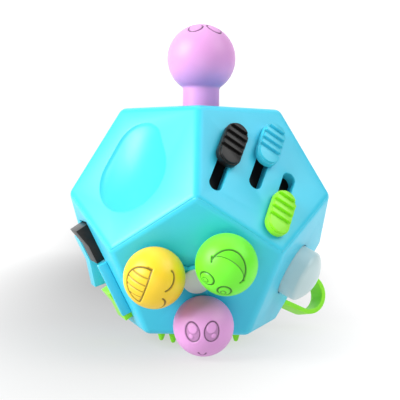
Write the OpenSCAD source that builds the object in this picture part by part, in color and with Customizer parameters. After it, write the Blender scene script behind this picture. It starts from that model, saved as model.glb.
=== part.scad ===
// A hand-held fidget toy: a twelve-sided casing that stands on soft nubs, with
// a different thing to push, slide, flick or spin on each of its sides.
// Millimetres, +Z up. The origin is on the surface it stands on, under the joystick.

/* [Casing] */
// From the middle of the casing to each flat side
body_r = 22.5; // [20:0.5:30]
// Thickness of the casing wall
wall = 2.2; // [1.8:0.1:2.7]
// Radius of the rounded outer edges
edge_r = 2; // [0.8:0.1:2.4]
// Height of the soft nubs it stands on
nub_h = 3.2; // [3:0.1:6]
// Distance between the nubs
nub_pitch = 2.6; // [2.4:0.1:3.2]

/* [Thumb rest] */
// Width of the hollow, at its wide end
dip_w = 16; // [10:0.5:17]
// Length of the hollow
dip_l = 19.5; // [18:0.5:21]
// Depth of the hollow
dip_depth = 0.6; // [0.4:0.1:1]

/* [Joystick] */
// Radius of the knob's ball
joy_ball_r = 7.1; // [5:0.1:9]
// Height of the ball's middle above the side
joy_ball_h = 10.7; // [10:0.1:14]
// Radius of the stem
joy_stem_r = 3.8; // [3:0.1:4.4]
// Furthest tilt each way, degrees
joy_tilt = 10; // [6:1:12]

/* [Sliders] */
// Length of a slider cap
cap_l = 10.1; // [9:0.1:12]
// Width of a slider cap
cap_w = 4.9; // [4:0.1:5.4]
// Height of a slider cap
cap_h = 2; // [1.6:0.1:2.6]
// Length of a slot
slot_l = 12.4; // [10.2:0.1:13]
// Width of a slot
slot_w = 2.8; // [2.4:0.1:3]

/* [Spinner] */
// Radius of each ball
ball_r = 5.75; // [5:0.05:6.2]
// From the spinner's axle to each ball
ball_reach = 8.1; // [7.6:0.1:8.6]
// Radius of the spinner's axle
axle_r = 1.5; // [1.2:0.1:1.8]

/* [Push button] */
// Radius of the button
button_r = 5.4; // [4:0.1:5.8]
// Height of the button's straight side
button_h = 3.3; // [2.8:0.1:4]
// How far the button goes in
button_travel = 1.8; // [1:0.1:2]

/* [Thumb gears] */
// Outer radius of a gear
gear_r = 5.3; // [4.6:0.1:5.6]
// Width of a gear
gear_w = 3; // [2.4:0.1:3.4]
// Teeth on a gear
gear_teeth = 14; // [10:1:18]

/* [Click buttons] */
// Radius of a click button
click_r = 2.2; // [1.6:0.1:2.4]
// From the middle of the side to each click button
click_reach = 6.6; // [6:0.1:7]
// How far a click button goes in
click_travel = 1; // [0.6:0.1:1.2]

/* [Dial] */
// Radius of the dial
dial_r = 9; // [7:0.5:11]
// Thickness of the dial
dial_t = 2.2; // [1.8:0.1:3]

/* [Roller] */
// Radius of the roller over its tyre
roller_r = 5.2; // [4.4:0.1:5.6]
// Length of the roller
roller_l = 9; // [7:0.5:11]

/* [Loop] */
// Width of the loop across its arms
loop_w = 9; // [8.6:0.1:10]
// From the loop's pin to its tip
loop_l = 12.5; // [11.6:0.1:14]
// Width of the loop's strap
strap_w = 4.2; // [3.6:0.1:4.6]
// Thickness of the loop's strap
strap_t = 1; // [0.8:0.1:1.4]

/* [Switches] */
// Tilt of a rocker each way, degrees
rocker_tilt = 7; // [4:0.5:8]
// Height of the rail beside the rockers
rail_h = 2; // [1:0.1:2.4]

/* [Hidden] */
$fn = 64;

// Colours of the moulded plastics
CYAN = [0.36, 0.84, 0.91];
PINK = [0.96, 0.68, 0.96];
YELLOW = [0.98, 0.82, 0.18];
GREEN = [0.42, 0.95, 0.2];
LIME = [0.6, 0.92, 0.16];
BLACK = [0.09, 0.08, 0.08];
GREY = [0.72, 0.78, 0.8];
STEEL = [0.7, 0.71, 0.73];

// Clearances
run_fit = 0.06;  // a shaft in its bore, on the radius
slide_fit = 0.2; // a button in its hole, on the radius
gap = 0.3;       // between pieces that move past each other
sink = 0.5;      // how far a post runs into the piece that it stands on
eps = 0.01;      // a cutter past the face that it opens
cutter = 60;     // a cutter longer than anything it crosses

// The twelve sides, each [degrees round from the front, degrees above the horizon]
ring_lift = atan(0.5);
TOP = [0, 90];
BASE = [0, -90];
DIP_SIDE = [-36, ring_lift];
SLIDER_SIDE = [36, ring_lift];
CLICK_SIDE = [108, ring_lift];
DIAL_SIDE = [180, ring_lift];
GEAR_SIDE = [-108, ring_lift];
SPINNER_SIDE = [0, -ring_lift];
BUTTON_SIDE = [72, -ring_lift];
LOOP_SIDE = [144, -ring_lift];
ROLLER_SIDE = [-144, -ring_lift];
SWITCH_SIDE = [-72, -ring_lift];
UPPER_RING = [DIP_SIDE, SLIDER_SIDE, CLICK_SIDE, DIAL_SIDE, GEAR_SIDE];
LOWER_RING = [SPINNER_SIDE, BUTTON_SIDE, LOOP_SIDE, ROLLER_SIDE, SWITCH_SIDE];
SIDES = concat([TOP, BASE], UPPER_RING, LOWER_RING);

// A side's outward, rightward and upward directions
function outward(s) = [sin(s[0]) * cos(s[1]), -cos(s[0]) * cos(s[1]), sin(s[1])];
function rightward(s) = [cos(s[0]), sin(s[0]), 0];
function upward(s) = [-sin(s[0]) * sin(s[1]), cos(s[0]) * sin(s[1]), cos(s[1])];

// A regular pentagon side: its corners are this far from its middle, for each unit of body_r,
// and the middles of its edges this far
golden = (1 + sqrt(5)) / 2;
side_edge_k = 1 / golden;
side_corner_k = side_edge_k / cos(36);
function first_corner(s) = (s[1] < 0 && s[1] > -80) ? 90 : -90;
function corner(s, k, r) = r * (outward(s)
    + side_corner_k * cos(first_corner(s) + 72 * k) * rightward(s)
    + side_corner_k * sin(first_corner(s) + 72 * k) * upward(s));

// Heights
stand_h = body_r + nub_h;          // the casing's middle above the surface
inner_r = body_r - wall;           // from the middle to the inside of a wall

// Casing
dip_narrow = 0.7;                  // the narrow end of the thumb hollow, as a part of its width
dip_lean = 10;                     // from straight up the side, towards the left
dip_at = [-1.1, 0.6];
axle_boss_t = 2;                   // the wall round an axle's bore
dial_boss_h = 1.4;

// Joystick
joy_pivot = -6.5;                  // the pivot, below the side
joy_hole_r = joy_stem_r - joy_pivot * tan(joy_tilt * sqrt(2)) + gap;
joy_skirt_r = -joy_pivot - gap;    // the round skirt that fills the hole
joy_skirt_t = 1;
joy_skirt_cut = 3.4;               // the skirt's lower edge, above the pivot
joy_core_r = 2.5;
joy_seat = -1.2;                   // the knob's lower end
gimbal_r = 7.4;
gimbal_bore_r = 5.4;
gimbal_t = 3;
gimbal_pin_r = 0.9;
socket_bore_r = 8.3;
socket_r = 9.5;
socket_floor = -15.5;
socket_t = 1.5;
joy_foot = -10.5;                  // the stem's lower end
joy_foot_gap = 1.1;                // between the stem and its spring

// Sliders, in a frame turned to lie along the slots
slot_turn = -36;
slider_x = [-7.4, 0, 6.5];         // each slot's place across
slider_y = [-4, 1.7, -2.4];        // the middle of each slot, along it
slider_stem_l = 3.2;
slider_travel = slot_l - slider_stem_l;
slider_rest = [1, 1, -1];          // which end of its slot each cap rests at
slider_foot_w = slot_w + 1;
slider_foot_l = 4.2;
slider_foot_t = 0.8;
slider_tray_z = -wall - 1.3;
slider_tray_t = 0.8;
slider_tray_inset = 1.4;            // from the walls round the tray to its edges
slider_post_r = 1;
slider_post_y = 2;
cap_rim = 0.5;                     // the step round the top of a cap
grip_count = 4;                    // grooves across a cap
grip_pitch = 1.75;
grip_w = 0.9;
grip_depth = 0.6;
grip_shift = 0.8;                  // from the middle of the cap to the middle of its grooves

// Spinner
spinner_lift = 0.3;                // the rotor, above the side
rotor_t = 1;
hub_r = 2.65;
hub_step = 0.4;                    // the hub above the rotor, and its cap above the hub
arm_end_r = 3.4;
arm_w = 3;
ball_h = 5;                        // the ball's middle, above the side
ball_turn = [160, 46, -80];        // yellow, green and pink, degrees from rightward
spinner_boss_z = -5;
axle_head_z = spinner_lift + rotor_t - 0.1;
axle_head_w = 0.6;                 // how far the head stands out round the axle, and its thickness
axle_head_t = 0.35;
axle_tail = 1.8;                   // how far an axle runs past its boss
washer_w = 1.5;
washer_t = 0.9;

// Push button
button_wall = 1.4;
button_flange = 1;
button_flange_w = 0.9;
button_roof = 1.5;                 // from the top of the straight side down to the spring
button_dome = 2.2;
button_spring_room = 4;            // left for the spring when the button is in
cup_depth = wall + gap + button_flange + button_travel + button_spring_room;
cup_bore_r = button_r + button_flange_w + gap;
cup_wall = 0.9;
cup_floor = 1;

// Springs
joy_spring_r = 3.2;
button_spring_r = 3;
spring_wire_r = 0.35;

// Thumb gears
gear_pitch = 4.4;
gear_depth = wall + 1;
gear_axle_r = 0.9;
gear_upright_x = 1.5 * gear_pitch + 0.9;
upright_t = 1.2;                   // the uprights of the gears and the roller
upright_w = 5;
upright_foot = 2.4;                // below the axle
tooth_h = 1.3;
tooth_root = 0.75;                 // half a tooth's width at its root, and at its tip
tooth_tip = 0.4;

// Click buttons
click_lift = 1.6;
click_flange_t = 0.8;
click_flange_w = 0.5;
click_flange_top = -wall - 0.2;
click_stem_end = click_flange_top - click_flange_t - 0.2;
click_sheet_z = click_stem_end - click_travel - 1.8;
click_sheet_t = 0.5;
click_board_r = 11 - wall;
click_post_reach = click_board_r - 1.2;
click_post_r = 0.9;
click_stem_r = 1;
click_bevel = 0.4;
click_dome_r = [1.8, 1.1];         // a dome's foot and top

// Dial
dial_notches = 24;
dial_notch_r = 0.7;
dial_seat = 0.8;                   // from the axle's end to the dial's face
dial_dip_r = 3.6;                  // the hollow for a fingertip
dial_dip_depth = 1.2;
dial_dip_reach = 0.55 * dial_r;
dial_boss_z = -wall - dial_boss_h;

// Roller
roller_depth = wall + 1;
roller_axle_r = 0.8;
roller_upright_x = roller_l / 2 + 1.3;
tyre_t = 0.9;
tyre_grooves = 24;
tyre_groove_r = 0.35;

// Loop
loop_lean = 25;                    // from straight out, towards the push button
loop_x = -6;
loop_y = -4.2;
loop_pin_h = 2.6;
loop_pin_r = 1;
loop_lug_w = 4.4;
loop_lug_l = 4.6;
lug_depth = 1;                     // how far the lug is let into the casing

// Switches: [middle across, middle up, width, length, height, tilt at rest] of each rocker
switch_black_at = [0, 6.3, 8, 7.8, 1.65, rocker_tilt];
switch_cyan_at = [-7.7, 1.4, 5, 11.2, 1.8, -rocker_tilt];
switch_lime_at = [0, -7.4, 8, 6.6, 1.6, rocker_tilt];
SWITCHES = [switch_black_at, switch_cyan_at, switch_lime_at];
rocker_skirt_z = -0.9;             // the underside of a rocker, inside its opening
rocker_pin_r = 0.7;
rocker_pin_z = -1;
rocker_hub_z = -2.3;               // the underside of a rocker's hub
rocker_hub_w = [1.3, 0.9];         // half the hub's width, at its top and its underside
pin_bite = 0.7;                    // how far a rocker's pin runs into the casing at each end
switch_plate_z = -wall - 1;
switch_plate_t = 0.8;
switch_posts = [[1.5, -0.7], [8, -4], [-7.5, -8.5]];
rail_at = [5.3, -3.75];
rail_w = 1.4;
rail_l = 11.5;

// Base
nub_field = 9.6;                   // the pad, from its middle to each edge
nub_plate = 0.8;                   // the pad's thickness
nub_base_r = 1.2;
nub_tip_r = 0.5;

// Screws that hold the two halves together
screw_r = 0.9;
screw_head_r = 1.7;
screw_head_t = 1.1;
screw_seat = 3.4;                  // the underside of a screw head, into the base
screw_reach = 5;                   // from the middle of the base to each screw
screw_joint = 2;                   // where the tubes meet the posts, below the casing's middle
screw_bite = 5;                    // length of screw in a post
screw_tube_r = 2.5;
screw_l = body_r + screw_bite - screw_joint - screw_seat;

// ---- placing and plain shapes ----

// Puts what is drawn at the origin, facing +Z, on a side: +Y is up the side
module on_side(s, r = body_r)
    translate([0, 0, stand_h]) rotate([0, 0, s[0]]) rotate([90 - s[1], 0, 0])
        translate([0, 0, r]) children();

module along_slots() rotate([0, 0, slot_turn]) children();

module rod(r, z0, z1) translate([0, 0, z0]) cylinder(r = r, h = z1 - z0);
module taper(r1, r2, z0, z1) translate([0, 0, z0]) cylinder(r1 = r1, r2 = r2, h = z1 - z0);

// A rod along X or Y, through the point [x, y, z]
module rod_x(r, x0, x1) translate([x0, 0, 0]) rotate([0, 90, 0]) cylinder(r = r, h = x1 - x0);
module rod_y(r, y0, y1) translate([0, y0, 0]) rotate([-90, 0, 0]) cylinder(r = r, h = y1 - y0);

module block(w, l, z0, z1) translate([-w / 2, -l / 2, z0]) cube([w, l, z1 - z0]);

// A bar with round ends, lying along Y
module stadium(w, l, z0, z1) {
    for (end = [-1, 1]) translate([0, end * (l - w) / 2, 0]) rod(w / 2, z0, z1);
    block(w, l - w, z0, z1);
}

module pentagon_plate(edge, z0, z1, turn)
    translate([0, 0, z0]) linear_extrude(z1 - z0)
        polygon([for (k = [0:4]) edge / cos(36) * [cos(turn + 72 * k), sin(turn + 72 * k)]]);

// A wound spring between two heights
module coil(r, wire_r, z0, z1, turns) {
    steps = 14;                    // round one turn
    ring = 6;                      // corners of the wire
    n = turns * steps;
    rise = (z1 - z0 - 2 * wire_r) / n;
    points = [for (i = [0:n]) for (k = [0:ring - 1])
        let (a = 360 * i / steps, b = 360 * k / ring, out = r + wire_r * cos(b))
        [out * cos(a), out * sin(a), z0 + wire_r + rise * i + wire_r * sin(b)]];
    walls = [for (i = [0:n - 1]) for (k = [0:ring - 1])
        let (j = (k + 1) % ring)
        [ring * i + k, ring * (i + 1) + k, ring * (i + 1) + j, ring * i + j]];
    ends = [[for (k = [0:ring - 1]) k], [for (k = [0:ring - 1]) ring * (n + 1) - 1 - k]];
    polyhedron(points, concat(walls, ends));
}

// ---- casing ----

module rounded_body()
    translate([0, 0, stand_h]) hull() {
        for (s = SIDES) translate([0, 0, -stand_h]) on_side(s)
            pentagon_plate(side_edge_k * (body_r - edge_r), -eps, 0, first_corner(s));
        for (s = [TOP, BASE]) for (k = [0:4])
            translate(corner(s, k, body_r - edge_r)) sphere(edge_r, $fn = 32);
        for (s = concat(UPPER_RING, LOWER_RING))
            translate(corner(s, 0, body_r - edge_r)) sphere(edge_r, $fn = 32);
    }

module hollow()
    intersection_for (s = SIDES)
        on_side(s, inner_r) translate([-cutter / 2, -cutter / 2, -cutter]) cube(cutter);

// Everything above the zigzag of edges where the two halves of the casing meet
module upper_region() {
    reach = 2 * body_r;
    zigzag = [for (i = [0:9]) i % 2 == 0
        ? corner([36 * i, -ring_lift], 0, reach) : corner([36 * i, ring_lift], 0, reach)];
    roof = [for (k = [0:4]) corner(TOP, k, reach)];
    translate([0, 0, stand_h]) polyhedron(
        concat([[0, 0, 0]], zigzag, roof),
        concat(
            [for (i = [0:9]) [1 + i, 1 + (i + 1) % 10, 0]],
            [for (k = [0:4])
                [11 + k, 11 + (k + 1) % 5, 1 + (2 * k + 2) % 10, 2 + 2 * k, 1 + 2 * k]],
            [[15, 14, 13, 12, 11]]));
}

// A shallow thumb hollow: egg-shaped, with a flat floor and sloping edges
module thumb_hollow() {
    wide_r = dip_w / 2;
    narrow_r = dip_narrow * wide_r;
    translate([dip_at[0], dip_at[1], 0]) rotate([0, 0, dip_lean]) hull() {
        translate([0, dip_l / 2 - narrow_r, 0])
            taper(narrow_r - dip_depth, narrow_r, -dip_depth, eps, $fn = 96);
        translate([0, wide_r - dip_l / 2, 0])
            taper(wide_r - dip_depth, wide_r, -dip_depth, eps, $fn = 96);
    }
}

module slots(w, l, z0, z1)
    along_slots() for (i = [0:2]) translate([slider_x[i], slider_y[i], 0]) stadium(w, l, z0, z1);

module click_places()
    for (k = [0:4]) rotate([0, 0, 90 + 72 * k]) translate([click_reach, 0, 0]) children();

module shell_upper() color(CYAN) difference() {
    union() {
        difference() {
            intersection() {
                rounded_body();
                upper_region();
            }
            hollow();
        }
        on_side(DIAL_SIDE) rod(axle_r + axle_boss_t, dial_boss_z, -wall + sink);
    }
    on_side(TOP) rod(joy_hole_r, -cutter / 4, eps);
    on_side(DIP_SIDE) thumb_hollow();
    on_side(SLIDER_SIDE) slots(slot_w, slot_l, -wall - eps, eps);
    on_side(CLICK_SIDE) click_places() rod(click_r + slide_fit, -wall - eps, eps);
    on_side(DIAL_SIDE) rod(axle_r + run_fit, -cutter / 4, eps);
    on_side(GEAR_SIDE) for (i = [-1:1]) translate([i * gear_pitch, 0, 0])
        block(gear_w + 2 * gap, 2 * (gear_r + gap), -wall - eps, eps);
}

module shell_lower() color(CYAN) difference() {
    union() {
        difference() {
            rounded_body();
            upper_region();
            hollow();
        }
        on_side(SPINNER_SIDE) rod(axle_r + axle_boss_t, spinner_boss_z, -wall + sink);
        on_side(BASE) screw_places() rod(screw_tube_r, screw_joint - body_r, -wall + sink);
    }
    on_side(SPINNER_SIDE) rod(axle_r, spinner_boss_z - eps, eps);
    on_side(BUTTON_SIDE) rod(button_r + slide_fit, -wall - eps, eps);
    on_side(BASE) {
        pentagon_plate(nub_field, -nub_plate, eps, first_corner(BASE));
        screw_places() {
            rod(screw_r + 0.1, -cutter / 2, eps);
            rod(screw_head_r + 0.1, -screw_seat, eps);
        }
    }
    on_side(LOOP_SIDE) translate([loop_x, loop_y, 0]) block(loop_lug_w, loop_lug_l, -lug_depth, eps);
    on_side(ROLLER_SIDE) block(roller_l + 2 * gap, 2 * (roller_r + gap), -wall - eps, eps);
    on_side(SWITCH_SIDE) switch_wells();
}

// ---- base ----

module screw_places() for (k = [0:2]) rotate([0, 0, 30 + 120 * k])
    translate([screw_reach, 0, 0]) children();

// Long screws that pull the lower half up to the joystick's socket
module casing_screws() color(STEEL) on_side(BASE) screw_places() {
    rod(screw_r, -screw_seat - screw_l, -screw_seat);
    rod(screw_head_r, -screw_seat, -screw_seat + screw_head_t);
}

// A soft pad of cone-shaped nubs, set into the base
module nub_pad() color(LIME) on_side(BASE) {
    pentagon_plate(nub_field - 0.1, -nub_plate, 0, first_corner(BASE));
    rows = floor(nub_field / nub_pitch);
    for (i = [-rows:rows]) for (j = [-rows:rows])
        if (norm([i, j]) * nub_pitch < nub_field - nub_base_r)
            translate([i * nub_pitch, j * nub_pitch, 0])
                cylinder(r1 = nub_base_r, r2 = nub_tip_r, h = nub_h, $fn = 32);
}

// ---- joystick ----

module at_joystick_pivot() on_side(TOP) translate([0, 0, joy_pivot]) children();

// A cup under the top that carries the gimbal and takes the casing screws
module joystick_socket() color(BLACK) difference() {
    union() {
        on_side(TOP) difference() {
            rod(socket_r, socket_floor - socket_t, -wall);
            rod(socket_bore_r, socket_floor, -wall + eps);
        }
        on_side(TOP) rod(joy_spring_r - 0.8, socket_floor - sink, socket_floor + 1);
        on_side(BASE) screw_places()
            rod(screw_tube_r - gap, -2 * body_r - socket_floor + sink, screw_joint - body_r);
    }
    at_joystick_pivot() rod_x(gimbal_pin_r + run_fit, -socket_r - 1, socket_r + 1);
    on_side(BASE) screw_places() rod(screw_r, -screw_seat - screw_l, 0);
}

module joystick_gimbal() color(GREY) at_joystick_pivot() difference() {
    rod(gimbal_r, -gimbal_t / 2, gimbal_t / 2);
    rod(gimbal_bore_r, -gimbal_t, gimbal_t);
    rod_x(gimbal_pin_r, -gimbal_r - 1, gimbal_r + 1);
    rod_y(gimbal_pin_r + run_fit, -gimbal_r - 1, gimbal_r + 1);
}

// Two short pins that hang the gimbal in the socket
module gimbal_pins() color(STEEL) at_joystick_pivot()
    for (end = [0, 180]) rotate([0, 0, end]) rod_x(gimbal_pin_r, gimbal_bore_r + 0.3, socket_r - 0.2);

// The ball and the stem above the pivot
module joystick_knob() color(PINK) on_side(TOP) difference() {
    union() {
        translate([0, 0, joy_ball_h]) sphere(joy_ball_r);
        rod(joy_stem_r, joy_seat, joy_ball_h);
    }
    rod(joy_core_r, joy_seat - eps, joy_ball_h);
}

// The core that carries the knob, with the round skirt that fills the hole in the casing
module joystick_stem() color(BLACK) difference() {
    union() {
        on_side(TOP) rod(joy_core_r, joy_foot, joy_ball_h);
        at_joystick_pivot() difference() {
            sphere(joy_skirt_r);
            sphere(joy_skirt_r - joy_skirt_t);
            translate([0, 0, joy_skirt_cut - cutter / 2]) cube(cutter, center = true);
            rod(joy_stem_r, -joy_pivot + joy_seat, cutter);
        }
    }
    at_joystick_pivot() rod_y(gimbal_pin_r, -cutter, cutter);
}

module joystick_pin() color(STEEL) at_joystick_pivot() rod_y(gimbal_pin_r, -gimbal_r + 0.3, gimbal_r - 0.3);

// Springs the stem back to the middle
module joystick_spring() color(STEEL) on_side(TOP)
    coil(joy_spring_r, spring_wire_r, socket_floor, joy_foot - joy_foot_gap, 4);

// ---- sliders ----

module slider_place(i)
    on_side(SLIDER_SIDE) along_slots()
        translate([slider_x[i], slider_y[i] + slider_rest[i] * slider_travel / 2, 0]) children();

module slider_cap(i) slider_place(i) difference() {
    union() {
        stadium(cap_w, cap_l, gap, cap_h - cap_rim);
        stadium(cap_w - cap_rim, cap_l - cap_rim, cap_h - cap_rim - eps, cap_h);
        stadium(slot_w - gap, slider_stem_l - gap, -wall - slide_fit, 2 * gap);
    }
    for (k = [0:grip_count - 1])
        translate([0, grip_shift + (k - (grip_count - 1) / 2) * grip_pitch, 0])
            block(2 * cap_w, grip_w, cap_h - grip_depth, cap_h + eps);
}

// The plate under the wall that keeps the cap in its slot
module slider_foot(i) slider_place(i)
    stadium(slider_foot_w, slider_foot_l, -wall - slide_fit - slider_foot_t, -wall - slide_fit);

module slider_cap_black() color(BLACK) slider_cap(0);
module slider_cap_cyan() color(CYAN) slider_cap(1);
module slider_cap_lime() color(LIME) slider_cap(2);
module slider_foot_black() color(BLACK) slider_foot(0);
module slider_foot_cyan() color(BLACK) slider_foot(1);
module slider_foot_lime() color(BLACK) slider_foot(2);

// A dark floor behind the slots, on two posts between the feet
module slider_tray() color(BLACK) on_side(SLIDER_SIDE) {
    pentagon_plate(side_edge_k * (body_r + slider_tray_z) - slider_tray_inset,
        slider_tray_z - slider_tray_t, slider_tray_z, first_corner(SLIDER_SIDE));
    along_slots() for (i = [0:1])
        translate([(slider_x[i] + slider_x[i + 1]) / 2, (2 * i - 1) * slider_post_y, 0])
            rod(slider_post_r, slider_tray_z - sink, -wall);
}

// ---- spinner ----

module at_ball(k) rotate([0, 0, ball_turn[k]]) translate([ball_reach, 0, 0]) children();

module spinner_axle() color(STEEL) on_side(SPINNER_SIDE) {
    rod(axle_r, spinner_boss_z - axle_tail, axle_head_z);
    rod(axle_r + axle_head_w, axle_head_z, axle_head_z + axle_head_t);
}

module spinner_washer() color(STEEL) on_side(SPINNER_SIDE) difference() {
    rod(axle_r + washer_w, spinner_boss_z - washer_t, spinner_boss_z);
    rod(axle_r, -cutter / 2, 0);
}

// Three arms that carry the balls and turn on the axle
module spinner_rotor() color(CYAN) on_side(SPINNER_SIDE) difference() {
    union() {
        rod(hub_r, spinner_lift, spinner_lift + rotor_t + hub_step);
        for (k = [0:2]) rotate([0, 0, ball_turn[k]]) {
            translate([ball_reach, 0, 0]) rod(arm_end_r, spinner_lift, spinner_lift + rotor_t);
            translate([ball_reach / 2, 0, 0])
                block(ball_reach, arm_w, spinner_lift, spinner_lift + rotor_t);
        }
    }
    rod(axle_r + run_fit, 0, cutter);
    rod(axle_r + axle_head_w + 0.1, axle_head_z - 0.1, cutter);
}

module spinner_hub_cap() color(GREY) on_side(SPINNER_SIDE)
    rod(hub_r, spinner_lift + rotor_t + hub_step, spinner_lift + rotor_t + 2 * hub_step);

// A round head with a flat underside that sits on an arm, clear of the hub
module spinner_ball(k) on_side(SPINNER_SIDE) difference() {
    at_ball(k) translate([0, 0, ball_h]) sphere(ball_r);
    translate([0, 0, spinner_lift + rotor_t - cutter / 2]) cube(cutter, center = true);
    rod(hub_r + slide_fit, 0, spinner_lift + rotor_t + 2 * hub_step + gap);
}

module spinner_ball_yellow() color(YELLOW) spinner_ball(0);
module spinner_ball_green() color(GREEN) spinner_ball(1);
module spinner_ball_pink() color(PINK) spinner_ball(2);

// ---- push button ----

module button_cap() color(GREY) on_side(BUTTON_SIDE) rotate_extrude() {
    dome_r = (button_r * button_r + button_dome * button_dome) / (2 * button_dome);
    difference() {
        union() {
            intersection() {
                translate([0, button_h + button_dome - dome_r]) circle(dome_r, $fn = 128);
                translate([0, button_h]) square([button_r, button_dome]);
            }
            translate([0, -wall - gap]) square([button_r, button_h + wall + gap]);
            translate([0, -wall - gap - button_flange]) square([button_r + button_flange_w, button_flange]);
        }
        translate([0, -cutter / 2]) square([button_r - button_wall, cutter / 2 + button_h - button_roof]);
        translate([-cutter, -cutter / 2]) square(cutter);
    }
}

// The cup that the button and its spring work in
module button_cup() color(BLACK) on_side(BUTTON_SIDE) difference() {
    rod(cup_bore_r + cup_wall, -cup_depth, -wall);
    rod(cup_bore_r, -cup_depth + cup_floor, -wall + eps);
}

module button_spring() color(STEEL) on_side(BUTTON_SIDE)
    coil(button_spring_r, spring_wire_r, -cup_depth + cup_floor, button_h - button_roof, 6);

// ---- switches ----

module at_switch(w) translate([w[0], w[1], 0]) children();

// The openings that the rockers work in, and the sockets of their pins
module switch_wells() for (w = SWITCHES) at_switch(w) {
    block(w[2] + 2 * gap, w[3] + 2 * gap, -wall - eps, eps);
    translate([0, 0, rocker_pin_z]) rod_x(rocker_pin_r, -w[2] / 2 - pin_bite, w[2] / 2 + pin_bite);
}

// A dark plate behind the rockers, on three posts
module switch_frame() color(BLACK) on_side(SWITCH_SIDE) {
    pentagon_plate(side_edge_k * (body_r + switch_plate_z) - 1,
        switch_plate_z - switch_plate_t, switch_plate_z, first_corner(SWITCH_SIDE));
    for (post = switch_posts) translate([post[0], post[1], 0])
        rod(0.9, switch_plate_z - sink, -wall);
}

module switch_rail() color(CYAN) on_side(SWITCH_SIDE)
    translate([rail_at[0], rail_at[1], 0]) block(rail_w, rail_l, 0, rail_h);

module switch_pin(w) color(STEEL) on_side(SWITCH_SIDE) at_switch(w) translate([0, 0, rocker_pin_z])
    rod_x(rocker_pin_r, -w[2] / 2 - pin_bite, w[2] / 2 + pin_bite);

module switch_pin_black() switch_pin(switch_black_at);
module switch_pin_cyan() switch_pin(switch_cyan_at);
module switch_pin_lime() switch_pin(switch_lime_at);

// A rocker: a block bent over its pin, so that one half lies flat while the other stands out
module rocker(w) on_side(SWITCH_SIDE) at_switch(w) translate([0, 0, rocker_pin_z])
    rotate([w[5], 0, 0]) translate([0, 0, -rocker_pin_z]) {
        half = w[3] / 2;
        rise = half * tan(rocker_tilt);
        difference() {
            translate([-w[2] / 2, 0, 0]) rotate([90, 0, 90]) linear_extrude(w[2])
                polygon([[-half, w[4] + rise], [0, w[4]], [half, w[4] + rise],
                    [half, rocker_skirt_z], [rocker_hub_w[0], rocker_skirt_z],
                    [rocker_hub_w[1], rocker_hub_z], [-rocker_hub_w[1], rocker_hub_z],
                    [-rocker_hub_w[0], rocker_skirt_z], [-half, rocker_skirt_z]]);
            translate([0, 0, rocker_pin_z]) rod_x(rocker_pin_r + run_fit, -w[2], w[2]);
        }
    }

module switch_black() color(BLACK) rocker(switch_black_at);
module switch_cyan() color(CYAN) rocker(switch_cyan_at);
module switch_lime() color(LIME) rocker(switch_lime_at);

// ---- loop ----

module at_loop() on_side(LOOP_SIDE) translate([loop_x, loop_y, loop_pin_h]) children();

// The block that the loop hinges on, let into the casing
module loop_lug() color(LIME) {
    on_side(LOOP_SIDE) translate([loop_x, loop_y, 0]) block(loop_lug_w, loop_lug_l, -lug_depth, lug_depth);
    at_loop() difference() {
        union() {
            rod_y(loop_lug_w / 2, -loop_lug_l / 2, loop_lug_l / 2);
            block(loop_lug_w, loop_lug_l, -loop_pin_h + 0.5, 0);
        }
        rod_y(loop_pin_r, -loop_lug_l, loop_lug_l);
    }
}

module loop_pin() color(STEEL) at_loop() rod_y(loop_pin_r, -loop_w / 2, loop_w / 2);

// A U-shaped strap with an eye at the end of each arm
module loop_strap() color(LIME) at_loop() rotate([0, -loop_lean, 0]) difference() {
    union() {
        translate([-strap_w / 2, 0, 0]) rotate([90, 0, 90]) linear_extrude(strap_w) difference() {
            union() {
                translate([-loop_w / 2, 0]) square([loop_w, loop_l - loop_w / 2]);
                translate([0, loop_l - loop_w / 2]) circle(loop_w / 2);
            }
            translate([-loop_w / 2 + strap_t, -eps])
                square([loop_w - 2 * strap_t, loop_l - loop_w / 2 + eps]);
            translate([0, loop_l - loop_w / 2]) circle(loop_w / 2 - strap_t);
        }
        for (arm = [-1, 1]) translate([0, arm * (loop_w - strap_t) / 2, 0])
            rod_y(strap_w / 2, -strap_t / 2, strap_t / 2);
    }
    rod_y(loop_pin_r + run_fit, -loop_w, loop_w);
}

// ---- thumb gears ----

module at_gears() on_side(GEAR_SIDE) translate([0, 0, -gear_depth]) children();

// An upright that hangs from the wall, with a hole for one end of an axle
module upright(bore_r, top) difference() {
    block(upright_t, upright_w, -upright_foot, top);
    rod_x(bore_r, -upright_t, upright_t);
}

module gear_frame() color(BLACK) at_gears() for (end = [-1, 1])
    translate([end * gear_upright_x, 0, 0]) upright(gear_axle_r, gear_depth - wall);

module gear_axle() color(STEEL) at_gears()
    rod_x(gear_axle_r, -gear_upright_x - upright_t / 2, gear_upright_x + upright_t / 2);

module gear(i) at_gears() translate([i * gear_pitch - gear_w / 2, 0, 0]) rotate([0, 90, 0])
    linear_extrude(gear_w) difference() {
        union() {
            circle(gear_r - tooth_h + gap);
            for (k = [0:gear_teeth - 1]) rotate(360 * k / gear_teeth) polygon([
                [gear_r - tooth_h, -tooth_root], [gear_r, -tooth_tip],
                [gear_r, tooth_tip], [gear_r - tooth_h, tooth_root]]);
        }
        circle(gear_axle_r + run_fit);
    }

module gear_pink() color(PINK) gear(-1);
module gear_yellow() color(YELLOW) gear(0);
module gear_lime() color(LIME) gear(1);

// ---- click buttons ----

module click_posts()
    for (k = [0:4]) rotate([0, 0, 54 + 72 * k]) translate([click_post_reach, 0, 0]) children();

// The board that the sheet lies on, on five posts
module click_board() color(BLACK) on_side(CLICK_SIDE) {
    rod(click_board_r, click_sheet_z - 1, click_sheet_z);
    click_posts() rod(click_post_r, click_sheet_z - sink, -wall);
}

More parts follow.
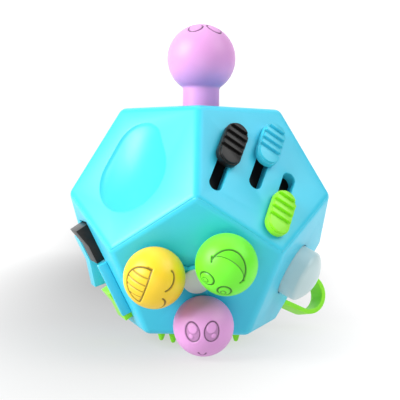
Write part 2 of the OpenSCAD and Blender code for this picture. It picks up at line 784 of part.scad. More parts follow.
// A soft sheet with a dome under each button
module click_dome_sheet() color(GREY) on_side(CLICK_SIDE) difference() {
    union() {
        rod(click_board_r, click_sheet_z, click_sheet_z + click_sheet_t);
        click_places()
            taper(click_dome_r[0], click_dome_r[1], click_sheet_z + click_sheet_t - 0.1,
                click_stem_end - click_travel - 0.1);
    }
    click_posts() rod(click_post_r + 0.1, -cutter / 4, 0);
}

module click_button(k) on_side(CLICK_SIDE) rotate([0, 0, 90 + 72 * k])
    translate([click_reach, 0, 0]) {
        rod(click_r, click_flange_top, click_lift - click_bevel);
        taper(click_r, click_r - click_bevel, click_lift - click_bevel, click_lift);
        rod(click_r + click_flange_w, click_flange_top - click_flange_t, click_flange_top);
        rod(click_stem_r, click_stem_end, click_flange_top - click_flange_t);
    }

module click_button_1() color(PINK) click_button(0);
module click_button_2() color(YELLOW) click_button(1);
module click_button_3() color(LIME) click_button(2);
module click_button_4() color(BLACK) click_button(3);
module click_button_5() color(GREY) click_button(4);

// ---- dial ----

// A disc with a knurled rim and a hollow for a fingertip
module dial_disc() color(PINK) on_side(DIAL_SIDE) difference() {
    rod(dial_r, gap, dial_t);
    for (k = [0:dial_notches - 1]) rotate([0, 0, 360 * k / dial_notches])
        translate([dial_r + 0.3, 0, 0]) rod(dial_notch_r, 0, cutter, $fn = 24);
    translate([0, dial_dip_reach, dial_t + dial_dip_r - dial_dip_depth]) sphere(dial_dip_r);
    rod(axle_r, 0, dial_t - dial_seat);
}

module dial_axle() color(STEEL) on_side(DIAL_SIDE) rod(axle_r, dial_boss_z - axle_tail, dial_t - dial_seat);

module dial_washer() color(STEEL) on_side(DIAL_SIDE) difference() {
    rod(axle_r + washer_w, dial_boss_z - slide_fit - washer_t, dial_boss_z - slide_fit);
    rod(axle_r, -cutter / 4, 0);
}

// ---- roller ----

module at_roller() on_side(ROLLER_SIDE) translate([0, 0, -roller_depth]) children();

module roller_frame() color(BLACK) at_roller() for (end = [-1, 1])
    translate([end * roller_upright_x, 0, 0]) upright(roller_axle_r, roller_depth - wall);

module roller_axle() color(STEEL) at_roller()
    rod_x(roller_axle_r, -roller_upright_x - upright_t / 2, roller_upright_x + upright_t / 2);

module roller_drum() color(GREY) at_roller() difference() {
    rod_x(roller_r - tyre_t, -roller_l / 2, roller_l / 2);
    rod_x(roller_axle_r + run_fit, -roller_l, roller_l);
}

// A ribbed rubber sleeve round the drum
module roller_tyre() color(BLACK) at_roller() difference() {
    rod_x(roller_r, -roller_l / 2, roller_l / 2);
    rod_x(roller_r - tyre_t, -roller_l, roller_l);
    for (k = [0:tyre_grooves - 1]) rotate([360 * k / tyre_grooves, 0, 0])
        translate([0, 0, roller_r + 0.15]) rod_x(tyre_groove_r, -roller_l, roller_l, $fn = 16);
}

shell_upper();
shell_lower();
casing_screws();
nub_pad();
joystick_socket();
joystick_gimbal();
gimbal_pins();
joystick_knob();
joystick_stem();
joystick_pin();
joystick_spring();
slider_tray();
slider_cap_black();
slider_cap_cyan();
slider_cap_lime();
slider_foot_black();
slider_foot_cyan();
slider_foot_lime();
spinner_axle();
spinner_washer();
spinner_rotor();
spinner_hub_cap();
spinner_ball_yellow();
spinner_ball_green();
spinner_ball_pink();
button_cap();
button_cup();
button_spring();
switch_frame();
switch_rail();
switch_pin_black();
switch_pin_cyan();
switch_pin_lime();
switch_black();
switch_cyan();
switch_lime();
loop_lug();
loop_pin();
loop_strap();
gear_frame();
gear_axle();
gear_pink();
gear_yellow();
gear_lime();
click_board();
click_dome_sheet();
click_button_1();
click_button_2();
click_button_3();
click_button_4();
click_button_5();
dial_disc();
dial_axle();
dial_washer();
roller_frame();
roller_axle();
roller_drum();
roller_tyre();
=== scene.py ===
"""A twelve-sided fidget toy: the looks of its moulded casing, joystick, sliders, spinner,
push button, switches, loop, nubs, thumb gears, click buttons, dial and roller."""

import math

import bmesh
import bpy
from mathutils import Matrix, Vector
from mathutils.kdtree import KDTree


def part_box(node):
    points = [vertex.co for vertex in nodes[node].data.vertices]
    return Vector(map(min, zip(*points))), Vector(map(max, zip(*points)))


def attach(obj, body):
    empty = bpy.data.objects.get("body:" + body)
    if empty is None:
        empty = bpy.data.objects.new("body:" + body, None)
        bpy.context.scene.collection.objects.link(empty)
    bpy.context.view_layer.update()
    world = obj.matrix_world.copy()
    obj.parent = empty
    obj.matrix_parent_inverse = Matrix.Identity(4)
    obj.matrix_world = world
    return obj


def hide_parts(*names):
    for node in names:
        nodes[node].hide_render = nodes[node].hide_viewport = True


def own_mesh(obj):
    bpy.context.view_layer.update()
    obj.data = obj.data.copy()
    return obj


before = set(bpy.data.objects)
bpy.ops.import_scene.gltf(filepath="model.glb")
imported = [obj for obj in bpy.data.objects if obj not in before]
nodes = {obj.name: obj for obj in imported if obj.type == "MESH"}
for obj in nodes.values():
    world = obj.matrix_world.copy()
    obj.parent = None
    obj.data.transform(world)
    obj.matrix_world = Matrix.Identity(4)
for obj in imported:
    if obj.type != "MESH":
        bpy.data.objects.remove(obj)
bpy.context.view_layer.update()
mm = 0.001

# ---- Where it stands -------------------------------------------------------------------
# A light table: a translucent white sheet that curves up behind the toy into a wall and glows,
# with a soft shadow painted into its glow behind the toy. A big soft light is on the left, and
# weaker ones are on the right, in front and above.
casing_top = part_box("shell_upper")[1].z
casing_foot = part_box("shell_lower")[0].z
casing_r = (casing_top - casing_foot) / 2
middle = Vector((0, 0, casing_foot + casing_r))

paper_half_width = 0.4
paper_front = -0.12
paper_bend_start = 0.2
paper_bend_r = 0.15
paper_height = 0.4
sweep = bmesh.new()
front = sweep.verts.new((-paper_half_width, paper_front, 0))
bend = sweep.verts.new((-paper_half_width, paper_bend_start, 0))
sweep.edges.new((front, bend))
spun = bmesh.ops.spin(sweep, geom=[bend], cent=(0, paper_bend_start, paper_bend_r), axis=(1, 0, 0),
                      angle=math.radians(90), steps=24)
wall_foot = [v for v in spun["geom_last"] if isinstance(v, bmesh.types.BMVert)][0]
sweep.edges.new((wall_foot, sweep.verts.new(wall_foot.co + Vector((0, 0, paper_height)))))
grown = bmesh.ops.extrude_edge_only(sweep, edges=sweep.edges[:])
grown = [v for v in grown["geom"] if isinstance(v, bmesh.types.BMVert)]
bmesh.ops.translate(sweep, verts=grown, vec=(2 * paper_half_width, 0, 0))
bmesh.ops.recalc_face_normals(sweep, faces=sweep.faces)
paper_mesh = bpy.data.meshes.new("paper_sweep")
sweep.to_mesh(paper_mesh)
sweep.free()
paper_mesh.shade_smooth()
paper = bpy.data.objects.new("paper_sweep", paper_mesh)
bpy.context.scene.collection.objects.link(paper)

# painted shadow: the sheet's glow is dimmed in a squashed ball round a point behind the toy, darkest
# at its middle
painted_shadow_middle = (-0.018, 0.042, 0.018)
painted_shadow_r = 0.1
painted_shadow_squash = (1.1, 0.3, 0.8)
paper_grey = 0.12
glow_in_painted_shadow, glow_beyond = 0.14, 1.05
paper_with_painted_shadow = bpy.data.materials.new("matt paper with painted shadow")
paper_with_painted_shadow.use_nodes = True
paper_tree = paper_with_painted_shadow.node_tree
paper_shader = paper_tree.nodes["Principled BSDF"]
paper_shader.inputs["Base Color"].default_value = (paper_grey, paper_grey, paper_grey, 1)
paper_shader.inputs["Roughness"].default_value = 0.9
paper_shader.inputs["Specular IOR Level"].default_value = 0.1
paper_shader.inputs["Emission Color"].default_value = (1, 1, 1, 1)
from_painted_shadow = paper_tree.nodes.new("ShaderNodeVectorMath")
from_painted_shadow.operation = "DISTANCE"
from_painted_shadow.inputs[1].default_value = painted_shadow_middle
glow = paper_tree.nodes.new("ShaderNodeMapRange")
glow.interpolation_type = "SMOOTHSTEP"
glow.inputs["From Max"].default_value = painted_shadow_r
glow.inputs["To Min"].default_value = glow_in_painted_shadow
glow.inputs["To Max"].default_value = glow_beyond
paper_place = paper_tree.nodes.new("ShaderNodeTexCoord")
squash = paper_tree.nodes.new("ShaderNodeVectorMath")
squash.operation = "MULTIPLY"
squash.inputs[1].default_value = painted_shadow_squash
paper_tree.links.new(paper_place.outputs["Object"], squash.inputs[0])
paper_tree.links.new(squash.outputs["Vector"], from_painted_shadow.inputs[0])
paper_tree.links.new(from_painted_shadow.outputs["Value"], glow.inputs["Value"])
paper_tree.links.new(glow.outputs["Result"], paper_shader.inputs["Emission Strength"])
paper_mesh.materials.append(paper_with_painted_shadow)


def soft_light(name, toward, distance, size, power):
    """A square soft light that shines at the toy from a direction."""
    lamp = bpy.data.lights.new(name, "AREA")
    lamp.size = size
    lamp.energy = power
    holder = bpy.data.objects.new(name, lamp)
    bpy.context.scene.collection.objects.link(holder)
    toward = Vector(toward).normalized()
    holder.rotation_euler = toward.to_track_quat("Z", "Y").to_euler()
    holder.location = middle + toward * distance


soft_light("left_softbox", (-1.0, -0.55, 0.6), 0.55, 0.34, 4.6)
soft_light("right_softbox", (0.85, -0.3, 0.8), 0.5, 0.36, 1.35)
soft_light("front_softbox", (0.0, -1.0, -0.1), 0.4, 0.2, 0.3)
soft_light("top_softbox", (0.1, 0.2, 1.0), 0.6, 0.5, 1.0)
surround = bpy.data.worlds.new("surround")
surround.use_nodes = True
room_light = surround.node_tree.nodes["Background"].inputs
room_light["Color"].default_value = (0.8, 0.92, 1, 1)
room_light["Strength"].default_value = 0.2
bpy.context.scene.world = surround
bpy.context.scene.view_settings.view_transform = "Standard"

# The camera looks at the middle of the casing from a little above its height.
view_round = math.radians(1.517)
view_up = math.radians(2.99)
view_roll = math.radians(0.528)
view_distance = 8.753 * casing_r
back = Vector((math.sin(view_round) * math.cos(view_up),
               -math.cos(view_round) * math.cos(view_up), math.sin(view_up)))
level = Vector((math.cos(view_round), math.sin(view_round), 0))
lifted = back.cross(level)
across = math.cos(view_roll) * level + math.sin(view_roll) * lifted
upright = back.cross(across)
lens = bpy.data.cameras.new("camera")
lens.lens = 84.13
lens.sensor_width = 36
lens.shift_y = 0.0439
lens.clip_start = 0.01
camera = bpy.data.objects.new("camera", lens)
camera.matrix_world = (Matrix.Translation(middle + back * view_distance)
                       @ Matrix((across, upright, back)).transposed().to_4x4())
bpy.context.scene.collection.objects.link(camera)
bpy.context.scene.camera = camera

# ---- Casing ----------------------------------------------------------------------------
# Two injection-moulded halves in satin cyan plastic that meet along the zigzag of edges
# round the toy. Every opening has the small round lip that a mould leaves.
cloud_scale, cloud_dark, cloud_light = 140, 0.94, 1.05
gloss_scale, gloss_spread = 420, 0.05
grain_scale, grain_strength, grain_depth = 5200, 0.12, 0.05
# painted shade: grooves and pressed hollows are darkened to this share of the colour
groove_painted_shade = 0.12
bleed_reach = 1.2
lip_r = 0.3
lip_reach = 0.02
casing_flat = 0.05
casing_crease = 50


def moulded(name, colour, roughness, bleed=0.0, engraved=False, grain=1.0):
    """Moulded plastic: faint cloudy colour, a fine spark-eroded grain and slightly uneven gloss."""
    material = bpy.data.materials.new(name)
    material.use_nodes = True
    tree = material.node_tree
    shader = tree.nodes["Principled BSDF"]
    link = tree.links.new
    place = tree.nodes.new("ShaderNodeTexCoord").outputs["Object"]

    def noise(scale, detail):
        node = tree.nodes.new("ShaderNodeTexNoise")
        node.inputs["Scale"].default_value = scale
        node.inputs["Detail"].default_value = detail
        link(place, node.inputs["Vector"])
        return node.outputs["Fac"]

    cloud = tree.nodes.new("ShaderNodeMix")
    cloud.data_type = "RGBA"
    cloud.inputs["A"].default_value = (*[cloud_dark * c for c in colour], 1)
    cloud.inputs["B"].default_value = (*[min(1, cloud_light * c) for c in colour], 1)
    link(noise(cloud_scale, 3), cloud.inputs["Factor"])
    paint = cloud.outputs["Result"]
    # painted shade: the grooves and hollows marked on the mesh darken the colour
    if engraved:
        cut = tree.nodes.new("ShaderNodeAttribute")
        cut.attribute_name = "groove"
        shade = tree.nodes.new("ShaderNodeMix")
        shade.data_type = "RGBA"
        shade.inputs["B"].default_value = (*[groove_painted_shade * c for c in colour], 1)
        link(cut.outputs["Fac"], shade.inputs["Factor"])
        link(paint, shade.inputs["A"])
        paint = shade.outputs["Result"]
    link(paint, shader.inputs["Base Color"])
    gloss = tree.nodes.new("ShaderNodeMapRange")
    gloss.inputs["To Min"].default_value = roughness - gloss_spread
    gloss.inputs["To Max"].default_value = roughness + gloss_spread
    link(noise(gloss_scale, 4), gloss.inputs["Value"])
    link(gloss.outputs["Result"], shader.inputs["Roughness"])
    texture = tree.nodes.new("ShaderNodeBump")
    texture.inputs["Strength"].default_value = grain_strength * grain
    texture.inputs["Distance"].default_value = grain_depth * mm
    link(noise(grain_scale, 2), texture.inputs["Height"])
    link(texture.outputs["Normal"], shader.inputs["Normal"])
    shader.inputs["Subsurface Weight"].default_value = bleed
    shader.inputs["Subsurface Radius"].default_value = (1, 1, 1)
    shader.inputs["Subsurface Scale"].default_value = bleed_reach * mm
    return material


def show(name, bm, material, body, stands_for, crease=35):
    """Turns a finished mesh into a piece that rides on its body in place of the frame's node."""
    mesh = bpy.data.meshes.new(name)
    bm.to_mesh(mesh)
    bm.free()
    mesh.shade_smooth()
    mesh.set_sharp_from_angle(angle=math.radians(crease))
    mesh.materials.append(material)
    piece = bpy.data.objects.new(name, mesh)
    bpy.context.scene.collection.objects.link(piece)
    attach(piece, body)
    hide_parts(stands_for)
    return piece


def dress(material, *names):
    """Gives nodes of the frame, whose shape is already right, their finish."""
    for name in names:
        mesh = nodes[name].data
        mesh.materials.clear()
        mesh.materials.append(material)


def solid_of(node, flat_within=0.6):
    """A merged copy of a node, with faces that are flat to within some degrees made whole."""
    bm = bmesh.new()
    bm.from_mesh(nodes[node].data)
    bmesh.ops.remove_doubles(bm, verts=bm.verts, dist=0.002 * mm)
    bmesh.ops.dissolve_limit(bm, angle_limit=math.radians(flat_within), verts=bm.verts,
                             edges=bm.edges)
    return bm


def round_rims(bm, edges, radius, segments=3):
    """Rounds edges over, as a mould does, by a radius in millimetres."""
    bmesh.ops.bevel(bm, geom=edges, offset=radius * mm, offset_type="OFFSET", segments=segments,
                    profile=0.5, affect="EDGES", clamp_overlap=True, material=-1)


def sharp_edges(bm, turn=40):
    """The edges of a mesh that turn by more than an angle."""
    return [e for e in bm.edges if e.is_manifold and e.calc_face_angle(0) > math.radians(turn)]


def softened(node, radius, segments=3, turn=40):
    """A merged copy of a node with its sharp edges rounded over."""
    bm = solid_of(node)
    round_rims(bm, sharp_edges(bm, turn), radius, segments)
    return bm


def side(round_from_front, above_horizon):
    """The middle of a flat side, with +Z out of it and +Y up it."""
    turn = Matrix.Rotation(math.radians(round_from_front), 4, "Z")
    tip = Matrix.Rotation(math.radians(90 - above_horizon), 4, "X")
    return Matrix.Translation(middle) @ turn @ tip @ Matrix.Translation((0, 0, casing_r))


ring_lift = math.degrees(math.atan(0.5))
top_side = side(0, 90)
base_side = side(0, -90)
upper_sides = [side(a, ring_lift) for a in (-36, 36, 108, 180, -108)]
lower_sides = [side(a, -ring_lift) for a in (0, 72, 144, -144, -72)]
inward = [s.inverted() for s in [top_side, base_side, *upper_sides, *lower_sides]]

casing_cyan = moulded("casing cyan", (0.04, 0.57, 0.77), 0.40)
for name, node in (("casing_upper", "shell_upper"), ("casing_lower", "shell_lower")):
    shell = solid_of(node, casing_flat)
    lips = [e for e in sharp_edges(shell) if any(
        all(abs((s @ v.co).z) < lip_reach * mm for v in e.verts) for s in inward)]
    round_rims(shell, lips, lip_r)
    show(name, shell, casing_cyan, "root", node, crease=casing_crease)

# ---- Nub pad ---------------------------------------------------------------------------
# One soft silicone moulding let into the base: a thin plate with rows of blunt cones, each
# with a small fillet at its root, that the toy stands on.
nub_pitch = 2.6
nub_root_r = 1.2
nub_tip_r = 0.5
nub_h = casing_foot / mm
pad_edge = 9.5
pad_t = 0.8
pad_rim = 0.2
pad_corner_r = pad_edge / math.cos(math.radians(36))
nub_reach = pad_edge + 0.1 - nub_root_r


def arc(cx, cy, rx, ry, start, stop, count=24):
    """Points along a piece of a circle or an ellipse, from one angle to another in degrees."""
    turns = [math.radians(start + (stop - start) * i / count) for i in range(count + 1)]
    return [(cx + rx * math.cos(t), cy + ry * math.sin(t)) for t in turns]


def turned(outline, steps=96):
    """A round piece, spun about +Z from its outline of radii and heights in millimetres."""
    bm = bmesh.new()
    verts = [bm.verts.new((r * mm, 0, h * mm)) for r, h in outline]
    edges = [bm.edges.new(pair) for pair in zip(verts, verts[1:])]
    bmesh.ops.spin(bm, geom=verts + edges, cent=(0, 0, 0), axis=(0, 0, 1),
                   angle=math.tau, steps=steps, use_merge=True)
    bmesh.ops.remove_doubles(bm, verts=bm.verts, dist=0.0005 * mm)
    bmesh.ops.recalc_face_normals(bm, faces=bm.faces)
    return bm


def place(bm, matrix):
    """Moves a whole mesh to where the piece is."""
    bmesh.ops.transform(bm, matrix=matrix, verts=bm.verts)
    return bm


def stamp(bm, part, matrix):
    """Adds a moved copy of a small part."""
    copy = place(part.copy(), matrix)
    holder = bpy.data.meshes.new("stamp")
    copy.to_mesh(holder)
    copy.free()
    bm.from_mesh(holder)
    bpy.data.meshes.remove(holder)


lime_silicone = moulded("lime silicone", (0.27, 0.78, 0.02), 0.46, bleed=0.25, grain=0.6)
nub = turned([(nub_root_r + 0.2, -0.1), (nub_root_r + 0.06, 0.03), (nub_root_r - 0.05, 0.3)]
             + arc(0, nub_h - nub_tip_r, nub_tip_r, nub_tip_r, 12, 90, 5), steps=20)
pad = bmesh.new()
bmesh.ops.create_circle(pad, cap_ends=True, segments=5, radius=pad_corner_r * mm,
                        matrix=Matrix.Rotation(math.pi, 4, "Z"))
skin = bmesh.ops.extrude_face_region(pad, geom=pad.faces[:])
bmesh.ops.translate(pad, vec=(0, 0, -pad_t * mm),
                    verts=[v for v in skin["geom"] if isinstance(v, bmesh.types.BMVert)])
bmesh.ops.recalc_face_normals(pad, faces=pad.faces)
round_rims(pad, sharp_edges(pad), pad_rim)
rows = int(pad_edge / nub_pitch)
for i in range(-rows, rows + 1):
    for j in range(-rows, rows + 1):
        if math.hypot(i, j) * nub_pitch < nub_reach:
            stamp(pad, nub, Matrix.Translation((i * nub_pitch * mm, j * nub_pitch * mm, 0)))
nub.free()
show("nub_mat", place(pad, base_side), lime_silicone, "root", "nub_pad")

# ---- Joystick --------------------------------------------------------------------------
# A soft-touch pink ball on a short stem, moulded in one round a black core, with a small
# fillet under the ball and a smiling face pressed into its top.
joy_ball_r = 7.1
joy_ball_h = 10.7
joy_stem_r = 3.8
joy_core_r = 2.5
joy_seat = -1.2
joy_fillet = 0.9
groove_w = 0.54
groove_depth = 0.22
groove_step = 0.06
hollow_edge = 0.15
joy_eye_r = 1.5
joy_eyes = ((-1.15, -3.35), (2.65, -2.6))


def engrave(bm, heart, points, width=groove_w, depth=groove_depth):
    """Presses a round-bottomed groove along a line into a surface, and marks it for painted shade."""
    mark = bm.verts.layers.float.get("groove") or bm.verts.layers.float.new("groove")
    near = KDTree(len(points))
    for index, point in enumerate(points):
        near.insert(point, index)
    near.balance()
    for v in bm.verts:
        away = near.find(v.co)[2] / (width / 2 * mm)
        if away < 1:
            press = (1 - away * away) ** 1.5
            v.co += (heart - v.co).normalized() * depth * press * mm
            v[mark] = max(v[mark], press)


# painted shade: the patch is marked so that the finish darkens it by the given share
def hollow_out(bm, heart, face, inside, depth, painted_shade):
    """Presses a whole patch of a face in a little, with a soft step round it, and marks it for painted
    shade.
    """
    mark = bm.verts.layers.float.get("groove") or bm.verts.layers.float.new("groove")
    to_face = face.inverted()
    for v in bm.verts:
        at = to_face @ v.co / mm
        press = min(1, max(0, inside(at.x, at.y) / hollow_edge)) if at.z > 0 else 0
        if press:
            v.co += (heart - v.co).normalized() * depth * press * mm
            v[mark] = max(v[mark], painted_shade * press)


def on_ball(face, radius, line, turn=0.0, shift=0.0):
    """Lays a flat line onto a ball, seen from straight above the face, in short even steps."""
    c, s = math.cos(math.radians(turn)), math.sin(math.radians(turn))
    laid = []
    for (x0, y0), (x1, y1) in zip(line, line[1:]):
        parts = max(1, int(math.hypot(x1 - x0, y1 - y0) / groove_step))
        for k in range(parts):
            x = x0 + (x1 - x0) * k / parts + shift
            y = y0 + (y1 - y0) * k / parts
            x, y = c * x - s * y, s * x + c * y
            z = math.sqrt(max(0, radius ** 2 - x * x - y * y))
            laid.append(face @ Vector((x * mm, y * mm, z * mm)))
    return laid


pink_plastic = moulded("pink plastic", (0.70, 0.32, 0.66), 0.46, bleed=0.12, engraved=True)
steel = moulded("plated steel", (0.62, 0.62, 0.64), 0.25, grain=0.5)
steel.node_tree.nodes["Principled BSDF"].inputs["Metallic"].default_value = 1
inner_black = moulded("black nylon", (0.014, 0.013, 0.013), 0.55)
grey_plastic = moulded("pale grey plastic", (0.62, 0.67, 0.69), 0.38)

fillet_r = joy_stem_r + joy_fillet
fillet_drop = math.sqrt((joy_ball_r + joy_fillet) ** 2 - fillet_r ** 2)
under = math.degrees(math.atan2(fillet_drop, fillet_r))
knob = turned([(joy_core_r, joy_seat), (joy_stem_r - 0.2, joy_seat), (joy_stem_r, joy_seat + 0.2)]
              + [(joy_stem_r, h) for h in (0.5, 2.0, 3.5)]
              + arc(fillet_r, joy_ball_h - fillet_drop, joy_fillet, joy_fillet, 180, 180 - under, 10)
              + arc(0, joy_ball_h, joy_ball_r, joy_ball_r, 1 - under, 90, 150), steps=220)
knob_heart = Vector((0, 0, joy_ball_h * mm))
knob_face = Matrix.Translation(knob_heart)
joy_lines = [arc(x, y, joy_eye_r, joy_eye_r, 0, 360, 40) for x, y in joy_eyes]
for line in joy_lines + [arc(0.2, -0.4, 3.3, 3.3, 20, 160)]:
    engrave(knob, knob_heart, on_ball(knob_face, joy_ball_r, line))
show("joystick_ball", place(knob, top_side), pink_plastic, "joystick",
     "joystick_knob")
dress(inner_black, "joystick_socket", "joystick_stem")
dress(grey_plastic, "joystick_gimbal")
dress(steel, "gimbal_pins", "joystick_pin", "joystick_spring", "casing_screws")

# ---- Sliders ---------------------------------------------------------------------------
# Three thumb sliders: a round-ended cap with four grip grooves on a stem through its slot,
# held from inside by a black foot. A black tray behind them closes the slots.
black_plastic = moulded("black plastic", (0.007, 0.0065, 0.0065), 0.36)
black_plastic.node_tree.nodes["Principled BSDF"].inputs["Specular IOR Level"].default_value = 0.3
cyan_plastic = moulded("cyan plastic", (0.045, 0.53, 0.70), 0.36)
lime_plastic = moulded("lime plastic", (0.27, 0.80, 0.015), 0.36, bleed=0.08)
cap_rim = 0.16
thumb_plastics = (("black", black_plastic), ("cyan", cyan_plastic), ("lime", lime_plastic))
for colour, material in thumb_plastics:
    show(f"slider_{colour}_cap", softened(f"slider_cap_{colour}", cap_rim, segments=2), material,
         f"slider_{colour}", f"slider_cap_{colour}")
    dress(inner_black, f"slider_foot_{colour}")
dress(inner_black, "slider_tray")

# ---- Spinner ---------------------------------------------------------------------------
# Three round heads glued to the arms of a cyan rotor with a grey cap, which turns on a steel
# axle. Each head has its own face pressed in: a laughing, a smiling and a wide-eyed one.
yellow_plastic = moulded("yellow plastic", (0.90, 0.60, 0.02), 0.42, bleed=0.08, engraved=True)
green_plastic = moulded("green plastic", (0.16, 0.86, 0.02), 0.44, bleed=0.08, engraved=True)
rotor_lift, rotor_t, rotor_rim = 0.3, 1.0, 0.12
spinner_side, button_side = lower_sides[:2]


def outward(face):
    """The direction straight out of a side."""
    return (face.to_3x3() @ Vector((0, 0, 1))).normalized()


out_of_spinner = outward(spinner_side)
hub = spinner_side.translation
ball_r = (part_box("spinner_ball_yellow")[1].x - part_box("spinner_ball_yellow")[0].x) / 2 / mm


def head(node):
    """A head's ball, and its face's middle, with +Z out of the toy and +Y to the hub."""
    low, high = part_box(node)
    heart = Vector(((low.x + high.x) / 2, low.y + ball_r * mm, low.z + ball_r * mm))
    to_hub = hub - heart
    to_hub = (to_hub - to_hub.dot(out_of_spinner) * out_of_spinner).normalized()
    right = to_hub.cross(out_of_spinner)
    face = Matrix((right, to_hub, out_of_spinner)).transposed().to_4x4()
    face.translation = heart
    ball = bmesh.new()
    bmesh.ops.create_icosphere(ball, subdivisions=7, radius=ball_r * mm,
                               matrix=Matrix.Translation(heart))
    seat = -(heart - hub).dot(out_of_spinner) + (rotor_lift + rotor_t) * mm
    cut = bmesh.ops.bisect_plane(ball, geom=ball.verts[:] + ball.edges[:] + ball.faces[:],
                                 plane_co=heart + seat * out_of_spinner, plane_no=out_of_spinner,
                                 clear_inner=True)
    rim = [e for e in cut["geom_cut"] if isinstance(e, bmesh.types.BMEdge)]
    bmesh.ops.edgeloop_fill(ball, edges=rim)
    return ball, heart, face


def both(line):
    """A line of a face and its mirror image on the other half."""
    return [line, [(-x, y) for x, y in line]]


# the laughing face: shut eyes and a half-moon mouth full of teeth
ball, heart, face = head("spinner_ball_yellow")
grin_w, grin_h, grin_top, face_shift = 3.45, 3.6, -1.5, -0.45


def in_grin(x, y):
    """How far a point is inside the half-moon mouth, below its straight lip."""
    lower = 1 - math.hypot((x - face_shift) / grin_w, (y - grin_top) / grin_h)
    return 1.5 * min(grin_top - y, 1.6 * lower)


hollow_out(ball, heart, face, in_grin, depth=0.12, painted_shade=0.10)
grin = arc(0, grin_top, grin_w, grin_h, 180, 360, 60)
lines = [grin, [grin[0], grin[-1]]] + both(arc(2.4, 1.75, 1.65, 1.25, 15, 165))
for tooth in range(4):
    x = grin_w * (-0.6 + 0.4 * tooth)
    foot = x + 0.5
    lines.append([(x, grin_top), (foot, grin_top - grin_h * math.sqrt(1 - (foot / grin_w) ** 2))])
for line in lines:
    engrave(ball, heart, on_ball(face, ball_r, line, shift=face_shift))
corner_mark = [(-grin_w + 0.02, grin_top - 0.7), (-grin_w - 0.02, grin_top + 0.05)]
engrave(ball, heart, on_ball(face, ball_r, corner_mark, shift=face_shift), width=0.8)
show("head_yellow", ball, yellow_plastic, "spinner", "spinner_ball_yellow")

# the smiling face: round eyes and a wide open smile with a tick at each corner
ball, heart, face = head("spinner_ball_green")
smile_turn, smile_shift = 9, 0.8
smile_w, smile_top, smile_low, smile_lip = 3.33, -1.25, 3.55, 2.2


def in_smile(x, y):
    """How far a point is inside the open mouth, between its two arcs."""
    c, s = math.cos(math.radians(smile_turn)), math.sin(math.radians(smile_turn))
    x, y = c * x + s * y - smile_shift, c * y - s * x - smile_top
    lower = 1 - math.hypot(x / smile_w, y / smile_low)
    upper = math.hypot(x / smile_w, y / smile_lip) - 1
    return 2 * min(lower, upper, -y)


hollow_out(ball, heart, face, in_smile, depth=0.1, painted_shade=0.22)
lines = [arc(0, smile_top, smile_w, smile_low, 180, 360, 60)]
lines += both(arc(1.9, 2.2, 1.25, 1.25, 0, 360, 40))
lines += both([(smile_w + 0.2, smile_top - 0.35), (smile_w - 0.2, smile_top + 0.35)])
for line in lines:
    engrave(ball, heart, on_ball(face, ball_r, line, smile_turn, smile_shift))
lines = [arc(0, smile_top, smile_w, smile_lip, 180, 360, 60)] + both(arc(1.95, 2.6, 0.5, 0.45, 0, 360))
for line in lines:
    engrave(ball, heart, on_ball(face, ball_r, line, smile_turn, smile_shift), width=0.3, depth=0.1)
show("head_green", ball, green_plastic, "spinner", "spinner_ball_green")

# the wide-eyed face: tall eyes with round glints, and a small smile
ball, heart, face = head("spinner_ball_pink")
wide_turn = -7.2
eye_x, eye_y, eye_w, eye_h = 1.79, 2.1, 1.33, 1.71
glint_y, glint_r = 2.85, 0.8
spark_x, spark_y, spark_r = 2.15, 1.4, 0.34


def in_eye(x, y):
    """How far a point is inside an eye and outside its glints."""
    c, s = math.cos(math.radians(wide_turn)), math.sin(math.radians(wide_turn))
    x, y = abs(c * x + s * y), c * y - s * x
    within = 1 - math.hypot((x - eye_x) / eye_w, (y - eye_y) / eye_h)
    off_glint = math.hypot(x - eye_x, y - glint_y) - glint_r
    off_spark = math.hypot(x - spark_x, y - spark_y) - spark_r
    return min(2 * within, off_glint, off_spark)


hollow_out(ball, heart, face, in_eye, depth=0.16, painted_shade=0.34)
lines = both(arc(eye_x, eye_y, eye_w, eye_h, 0, 360, 50)) + [arc(-0.2, -2.15, 0.75, 1.0, 190, 350)]
for line in lines:
    engrave(ball, heart, on_ball(face, ball_r, line, wide_turn), width=0.42)
show("head_pink", ball, pink_plastic, "spinner", "spinner_ball_pink")

for name, node, material, slot in (("spinner_arms", "spinner_rotor", cyan_plastic, "cyan_plastic"),
                                   ("spinner_cap", "spinner_hub_cap", grey_plastic, "grey_plastic")):
    show(name, softened(node, rotor_rim, segments=2), material, "spinner", node)
dress(steel, "spinner_axle", "spinner_washer")

# ---- Push button -----------------------------------------------------------------------
# A round, domed button in pale plastic with a flange that keeps it in its hole. A spring
# in the black cup behind it pushes it back out.
button_r = 5.4
button_flange_r = 6.3
button_wall = 1.4
button_side_h = 3.3
button_dome = 2.2
button_roof = 1.8
button_fillet = 1.2
flange_low, flange_top = -3.5, -2.5
dome_r = (button_r ** 2 + button_dome ** 2) / (2 * button_dome)
dome_h = button_side_h + button_dome - dome_r
rim_rise = math.sqrt((dome_r - button_fillet) ** 2 - (button_r - button_fillet) ** 2)
rim_turn = math.degrees(math.atan2(rim_rise, button_r - button_fillet))
button = turned([(0, button_roof), (button_r - button_wall - 0.2, button_roof),
                 (button_r - button_wall, button_roof - 0.2), (button_r - button_wall, flange_low),
                 (button_flange_r - 0.15, flange_low), (button_flange_r, flange_low + 0.15),
                 (button_flange_r, flange_top - 0.15), (button_flange_r - 0.15, flange_top),
                 (button_r, flange_top)]
                + arc(button_r - button_fillet, dome_h + rim_rise, button_fillet, button_fillet,
                      0, rim_turn, 12)
                + arc(0, dome_h, dome_r, dome_r, rim_turn + 2, 90, 20), steps=128)
white_plastic = moulded("white plastic", (0.50, 0.64, 0.65), 0.3, bleed=0.05)
show("button_dome", place(button, button_side), white_plastic, "push_button",
     "button_cap")
spring = solid_of("button_spring")
spring_piece = show("button_return_spring", spring, steel, "root", "button_spring")
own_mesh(spring_piece)
dress(inner_black, "button_cup")

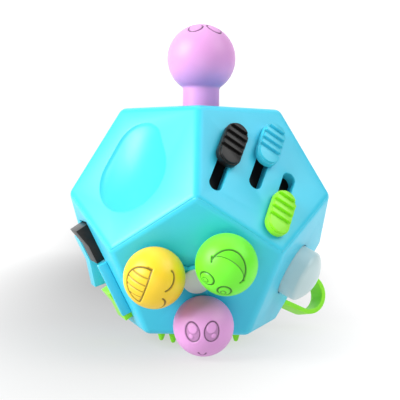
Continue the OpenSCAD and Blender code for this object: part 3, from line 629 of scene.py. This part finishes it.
# ---- Switches --------------------------------------------------------------------------
# Three moulded rockers that tip on steel pins in their wells, a fixed cyan rail beside
# them, and a black plate behind.
rocker_rim = 0.2
rail_rim = 0.25
for colour, material in thumb_plastics:
    show(f"rocker_{colour}", softened(f"switch_{colour}", rocker_rim), material,
         f"rocker_{colour}", f"switch_{colour}")
show("rail", softened("switch_rail", rail_rim), cyan_plastic, "root", "switch_rail")
dress(steel, "switch_pin_black", "switch_pin_cyan", "switch_pin_lime")
dress(inner_black, "switch_frame")

# ---- Loop ------------------------------------------------------------------------------
# A springy lime silicone strap bent into a U, hinged on a steel pin through a lime plastic
# lug that is fixed to the casing.
strap_rim = 0.28
lug_rim = 0.2
show("strap", softened("loop_strap", strap_rim), lime_silicone, "loop", "loop_strap")
show("lug", softened("loop_lug", lug_rim), lime_plastic, "root", "loop_lug")
dress(steel, "loop_pin")

# ---- Thumb gears -----------------------------------------------------------------------
# Three toothed wheels moulded in pink, yellow and lime plastic. They turn freely, side by
# side, on one steel axle between black uprights.
wheel_rim = 0.12
for colour, body, material in (("pink", "gear_a", pink_plastic),
                               ("yellow", "gear_b", yellow_plastic),
                               ("lime", "gear_c", lime_plastic)):
    show(f"wheel_{colour}", softened(f"gear_{colour}", wheel_rim, segments=2), material,
         body, f"gear_{colour}")
dress(steel, "gear_axle")
dress(inner_black, "gear_frame")

# ---- Click buttons ---------------------------------------------------------------------
# Five small mushroom buttons, each with a flange behind the wall, over a sheet of silicone
# domes that click and push them back.
click_r = 2.2
click_flange_r = 2.7
click_top = 1.6
click_rim = 0.5
click_low, click_high = -3.2, -2.4
click_reach = 6.6
click_stem_r = 1.0
click_foot = -3.4
click_bevel = 0.1
click_rim_h = click_top - 0.15 - click_rim
click_side = upper_sides[2]
mushroom = [(0, click_foot), (click_stem_r - click_bevel, click_foot),
            (click_stem_r, click_foot + click_bevel), (click_stem_r, click_low),
            (click_flange_r - click_bevel, click_low), (click_flange_r, click_low + click_bevel),
            (click_flange_r, click_high), (click_r, click_high)]
mushroom += arc(click_r - click_rim, click_rim_h, click_rim, click_rim, 0, 80, 8)
mushroom += [(click_stem_r, click_top - 0.03), (0, click_top)]
click_colours = ((pink_plastic, "pink_plastic"), (yellow_plastic, "yellow_plastic"),
                 (lime_plastic, "lime_plastic"), (black_plastic, "black_plastic"),
                 (grey_plastic, "grey_plastic"))
for k, (material, slot) in enumerate(click_colours):
    spot = (Matrix.Rotation(math.radians(90 + 72 * k), 4, "Z")
            @ Matrix.Translation((click_reach * mm, 0, 0)))
    show(f"click_{k + 1}_cap", place(turned(mushroom, 64), click_side @ spot), material,
         f"click_{k + 1}", f"click_button_{k + 1}")
dress(inner_black, "click_board")
dress(grey_plastic, "click_dome_sheet")

# ---- Dial ------------------------------------------------------------------------------
# A flat disc moulded in pink plastic, with a notched rim and a hollow for a fingertip. It is
# pressed on a steel axle that turns in the casing.
dial_rim = 0.2
show("dial_face", softened("dial_disc", dial_rim), pink_plastic, "dial", "dial_disc")
dress(steel, "dial_axle", "dial_washer")

# ---- Roller ----------------------------------------------------------------------------
# A grey plastic drum in a ribbed black rubber sleeve. It turns on a steel axle that is held
# by a black frame behind the casing.
sleeve_rim, sleeve_turn = 0.06, 60
black_rubber = moulded("black rubber", (0.02, 0.02, 0.02), 0.62, grain=1.6)
sleeve = softened("roller_tyre", sleeve_rim, segments=2, turn=sleeve_turn)
show("roller_sleeve", sleeve, black_rubber, "roller", "roller_tyre")
dress(grey_plastic, "roller_drum")
dress(steel, "roller_axle")
dress(inner_black, "roller_frame")
